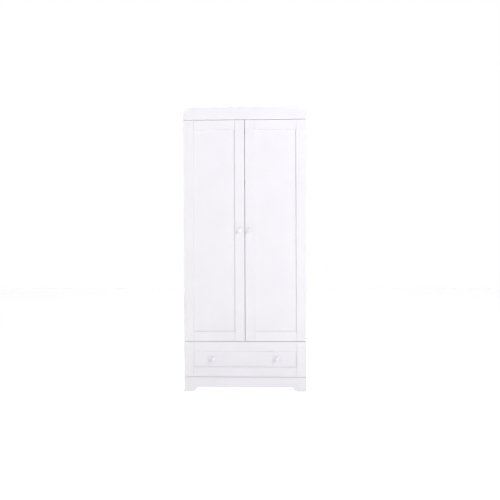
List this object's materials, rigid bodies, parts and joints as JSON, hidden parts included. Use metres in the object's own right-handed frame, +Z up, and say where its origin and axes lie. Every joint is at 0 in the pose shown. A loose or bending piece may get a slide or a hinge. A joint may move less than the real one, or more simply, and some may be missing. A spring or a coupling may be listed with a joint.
{
  "type": "wardrobe",
  "caption": "White painted wardrobe with framed overlay doors above a full-width framed drawer, under an arched cornice board and on a footed plinth.",
  "frame": {"origin": "on the floor, in the middle of the closed wardrobe's bounding box", "axes": "+Z up; the doors and the drawer face -Y; +X to the right seen from the front"},
  "size_m": [0.814, 0.567, 1.88],
  "materials": {
    "white_paint": "satin",
    "white_laminate": "matte",
    "back_sheet": "matte",
    "beech": "matte",
    "white_plastic": "matte",
    "nylon": "satin",
    "clear_bumper": "matte",
    "white_enamel": "semi-gloss",
    "zinc_steel": "satin",
    "nickel_steel": "satin",
    "chrome": "polished"
  },
  "bodies": {
    "carcass": {"left_side_panel": "white_paint", "right_side_panel": "white_paint", "top_panel": "white_paint", "middle_panel": "white_laminate", "base_panel": "white_laminate", "top_front_rail": "white_laminate", "cornice_board": "white_paint", "plinth_board": "white_paint", "rear_plinth_rail": "white_laminate", "plinth_blocks": "beech", "foot_glides": "white_plastic", "back_board_left": "back_sheet", "back_board_right": "back_sheet", "back_joining_strip": "white_plastic", "hat_shelf": "white_laminate", "shelf_pins": "zinc_steel", "hanging_rail": "chrome", "rail_sockets": "white_plastic", "cam_fittings": "zinc_steel", "dowels": "beech", "carcass_screws": "zinc_steel", "wall_brackets": "zinc_steel", "hinge_plates": "nickel_steel", "hinge_arms": "nickel_steel", "hinge_pins": "nickel_steel", "hinge_screws": "nickel_steel", "cabinet_runners": "white_enamel", "door_bumpers": "clear_bumper"},
    "left_door": {"left_door_hinge_stile": "white_paint", "left_door_knob_stile": "white_paint", "left_door_top_rail": "white_paint", "left_door_bottom_rail": "white_paint", "left_door_panel": "white_paint", "left_door_knob": "white_paint", "left_door_screws": "zinc_steel", "left_hinge_cups": "nickel_steel"},
    "right_door": {"right_door_hinge_stile": "white_paint", "right_door_knob_stile": "white_paint", "right_door_top_rail": "white_paint", "right_door_bottom_rail": "white_paint", "right_door_panel": "white_paint", "right_door_knob": "white_paint", "right_door_screws": "zinc_steel", "right_hinge_cups": "nickel_steel"},
    "left_hinge_links": {"left_hinge_links": "nickel_steel"},
    "right_hinge_links": {"right_hinge_links": "nickel_steel"},
    "drawer": {"drawer_front_left_stile": "white_paint", "drawer_front_right_stile": "white_paint", "drawer_front_top_rail": "white_paint", "drawer_front_bottom_rail": "white_paint", "drawer_front_panel": "white_paint", "drawer_knobs": "white_paint", "drawer_side_left": "white_laminate", "drawer_side_right": "white_laminate", "drawer_back": "white_laminate", "drawer_bottom": "back_sheet", "drawer_fixings": "zinc_steel", "drawer_runners": "white_enamel"},
    "cabinet_rollers": {"cabinet_rollers": "nylon"},
    "drawer_rollers": {"drawer_rollers": "nylon"}
  },
  "joints": [
    {"name": "left_door_hinge", "type": "hinge", "parent": "carcass", "child": "left_door", "pos_m": [-0.3975, -0.2495, 1.06575], "axis": [0, 0, -1], "range_deg": [0, 100]},
    {"name": "right_door_hinge", "type": "hinge", "parent": "carcass", "child": "right_door", "pos_m": [0.3975, -0.2495, 1.06575], "axis": [0, 0, 1], "range_deg": [0, 100]},
    {"name": "left_link_pivot", "type": "hinge", "parent": "carcass", "child": "left_hinge_links", "pos_m": [-0.3746, -0.24455, 1.06575], "axis": [0, 0, -1], "range_deg": [-33.7, 0]},
    {"name": "right_link_pivot", "type": "hinge", "parent": "carcass", "child": "right_hinge_links", "pos_m": [0.3746, -0.24455, 1.06575], "axis": [0, 0, 1], "range_deg": [-33.7, 0]},
    {"name": "drawer_slide", "type": "slide", "parent": "carcass", "child": "drawer", "axis": [0, -1, 0], "range_m": [0, 0.34]},
    {"name": "cabinet_roller_spin", "type": "hinge", "parent": "carcass", "child": "cabinet_rollers", "pos_m": [0, -0.2205, 0.12525], "axis": [1, 0, 0], "continuous": true},
    {"name": "drawer_roller_spin", "type": "hinge", "parent": "drawer", "child": "drawer_rollers", "pos_m": [0, 0.1815, 0.12475], "axis": [1, 0, 0], "continuous": true}
  ],
  "couplings": [
    {"joint": "left_link_pivot", "follows": "left_door_hinge", "ratio": -0.3366},
    {"joint": "right_link_pivot", "follows": "right_door_hinge", "ratio": -0.3366},
    {"joint": "cabinet_roller_spin", "follows": "drawer_slide", "rad_per_m": 100},
    {"joint": "drawer_roller_spin", "follows": "drawer_slide", "rad_per_m": 100}
  ]
}
